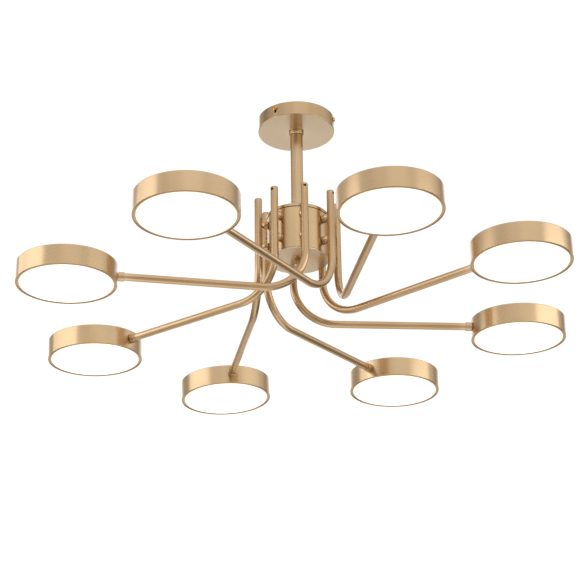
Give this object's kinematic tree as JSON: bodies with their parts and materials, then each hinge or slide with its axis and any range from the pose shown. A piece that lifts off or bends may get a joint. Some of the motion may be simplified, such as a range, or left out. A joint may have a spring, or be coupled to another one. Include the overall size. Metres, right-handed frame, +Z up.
{
  "type": "multi arm chandelier",
  "caption": "Ceiling chandelier: bent tube arms leave a drum hub along tangents, each ending in a flat round LED head that swivels; hung on a short rod from a round canopy.",
  "frame": {"origin": "middle of the upper face of the ceiling bracket, on the ceiling", "axes": "+Z up, out of the bracket into the ceiling; -Y towards the viewer in front; the arm numbered 1 stands nearest -Y and the numbers rise counter-clockwise seen from above"},
  "size_m": [0.84, 0.8315, 0.3516],
  "materials": {
    "satin_gold": "satin champagne gold metallic lacquer",
    "brass": "bright",
    "zinc_steel": "zinc plated",
    "black_steel": "black phosphate coating",
    "board_aluminium": "white coated board on bare aluminium",
    "opal_diffuser": "opal acrylic, lit from inside",
    "white_plastic": "matte",
    "wire_sheath": "soft matte sheath"
  },
  "bodies": {
    "fixture": {"ceiling_bracket": "black_steel", "canopy": "satin_gold", "canopy_screw_1": "brass", "canopy_screw_2": "brass", "canopy_screw_3": "brass", "terminal_block": "white_plastic", "rod_collar": "satin_gold", "rod_nipple": "zinc_steel", "canopy_nut": "zinc_steel", "down_rod": "satin_gold", "hub_cap": "satin_gold", "hub_shell": "satin_gold", "hub_bottom_plate": "satin_gold", "hub_stem": "zinc_steel", "finial": "satin_gold", "driver_plate": "zinc_steel", "led_driver_1": "white_plastic", "led_driver_2": "white_plastic", "supply_cable": "wire_sheath", "wiring_loom": "wire_sheath", "arm_1": "satin_gold", "arm_2": "satin_gold", "arm_3": "satin_gold", "arm_4": "satin_gold", "arm_5": "satin_gold", "arm_6": "satin_gold", "arm_7": "satin_gold", "arm_8": "satin_gold", "swivel_1": "satin_gold", "swivel_2": "satin_gold", "swivel_3": "satin_gold", "swivel_4": "satin_gold", "swivel_5": "satin_gold", "swivel_6": "satin_gold", "swivel_7": "satin_gold", "swivel_8": "satin_gold"},
    "head_1": {"head_housing_1": "satin_gold", "led_board_1": "board_aluminium", "diffuser_1": "opal_diffuser"},
    "head_2": {"head_housing_2": "satin_gold", "led_board_2": "board_aluminium", "diffuser_2": "opal_diffuser"},
    "head_3": {"head_housing_3": "satin_gold", "led_board_3": "board_aluminium", "diffuser_3": "opal_diffuser"},
    "head_4": {"head_housing_4": "satin_gold", "led_board_4": "board_aluminium", "diffuser_4": "opal_diffuser"},
    "head_5": {"head_housing_5": "satin_gold", "led_board_5": "board_aluminium", "diffuser_5": "opal_diffuser"},
    "head_6": {"head_housing_6": "satin_gold", "led_board_6": "board_aluminium", "diffuser_6": "opal_diffuser"},
    "head_7": {"head_housing_7": "satin_gold", "led_board_7": "board_aluminium", "diffuser_7": "opal_diffuser"},
    "head_8": {"head_housing_8": "satin_gold", "led_board_8": "board_aluminium", "diffuser_8": "opal_diffuser"}
  },
  "joints": [
    {"name": "head_swivel_1", "type": "hinge", "parent": "fixture", "child": "head_1", "pos_m": [-0.26833, -0.11128, -0.32645], "axis": [-0.9844, -0.1754, 0.014], "range_deg": [-170, 170]},
    {"name": "head_swivel_2", "type": "hinge", "parent": "fixture", "child": "head_2", "pos_m": [-0.11012, -0.26969, -0.32339], "axis": [-0.5676, -0.8228, 0.0279], "range_deg": [-170, 170]},
    {"name": "head_swivel_3", "type": "hinge", "parent": "fixture", "child": "head_3", "pos_m": [0.1136, -0.26724, -0.32683], "axis": [0.1839, -0.9829, 0.0122], "range_deg": [-170, 170]},
    {"name": "head_swivel_4", "type": "hinge", "parent": "fixture", "child": "head_4", "pos_m": [0.26484, -0.12132, -0.32339], "axis": [0.7983, -0.6016, 0.0279], "range_deg": [-170, 170]},
    {"name": "head_swivel_5", "type": "hinge", "parent": "fixture", "child": "head_5", "pos_m": [0.27345, 0.09954, -0.32454], "axis": [0.991, 0.1322, 0.0227], "range_deg": [-170, 170]},
    {"name": "head_swivel_6", "type": "hinge", "parent": "fixture", "child": "head_6", "pos_m": [0.11568, 0.26724, -0.32377], "axis": [0.5848, 0.8108, 0.0262], "range_deg": [-170, 170]},
    {"name": "head_swivel_7", "type": "hinge", "parent": "fixture", "child": "head_7", "pos_m": [-0.11352, 0.26681, -0.32836], "axis": [-0.1839, 0.9829, 0.0052], "range_deg": [-170, 170]},
    {"name": "head_swivel_8", "type": "hinge", "parent": "fixture", "child": "head_8", "pos_m": [-0.26752, 0.10922, -0.33178], "axis": [-0.8221, 0.5692, -0.0105], "range_deg": [-170, 170]}
  ]
}
